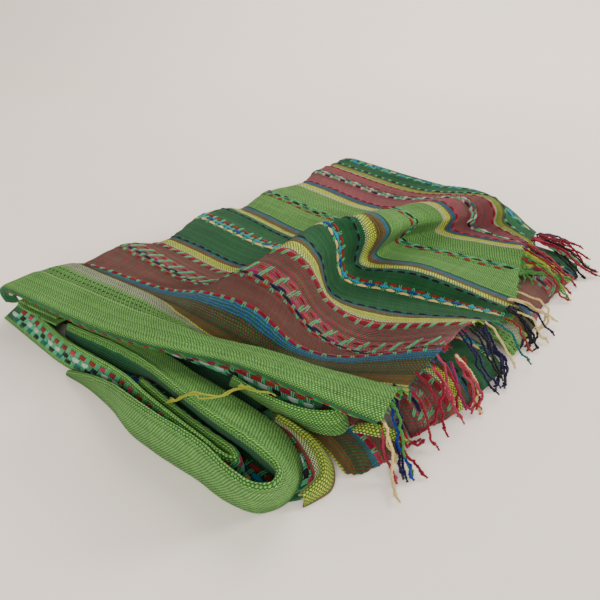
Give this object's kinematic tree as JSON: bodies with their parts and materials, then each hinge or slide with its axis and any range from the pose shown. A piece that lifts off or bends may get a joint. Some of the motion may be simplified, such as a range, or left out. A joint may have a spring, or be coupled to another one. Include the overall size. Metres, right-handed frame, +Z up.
{
  "type": "folded scarf",
  "caption": "Folded hand-woven striped scarf that lies flat, with a ruck across it, loose front loops and a knotted fringe at one end.",
  "frame": {"origin": "on the table, under the middle of the pile and on its flat underside", "axes": "+X along the stripes towards the fringed end, +Y across the stripes towards the back of the pile, +Z up"},
  "size_m": [0.3352, 0.4271, 0.0628],
  "materials": {
    "striped_cloth": "coarse plain weave in green, mauve, lime, brown and blue stripes",
    "light_green_cloth": "coarse plain weave in light green",
    "dark_cloth": "coarse plain weave in dark green",
    "lime_cloth": "coarse plain weave in lime yellow",
    "fringe_yarn": "twisted cotton strands in crimson, navy, cream and green"
  },
  "bodies": {
    "root": {"top_layer": "striped_cloth", "hidden_layers": "dark_cloth", "big_loop": "light_green_cloth", "inner_fold": "light_green_cloth", "second_loop": "light_green_cloth", "left_pocket": "light_green_cloth", "pocket_floor": "striped_cloth", "lime_fold": "lime_cloth", "crumpled_end": "lime_cloth", "lower_sheet": "striped_cloth", "fringe_layer": "striped_cloth", "corner_layer": "dark_cloth", "fringe_band": "fringe_yarn", "fringe_mauve1": "fringe_yarn", "fringe_green1": "fringe_yarn", "fringe_crease": "fringe_yarn", "fringe_light2": "fringe_yarn", "fringe_mauve2": "fringe_yarn"}
  },
  "joints": []
}
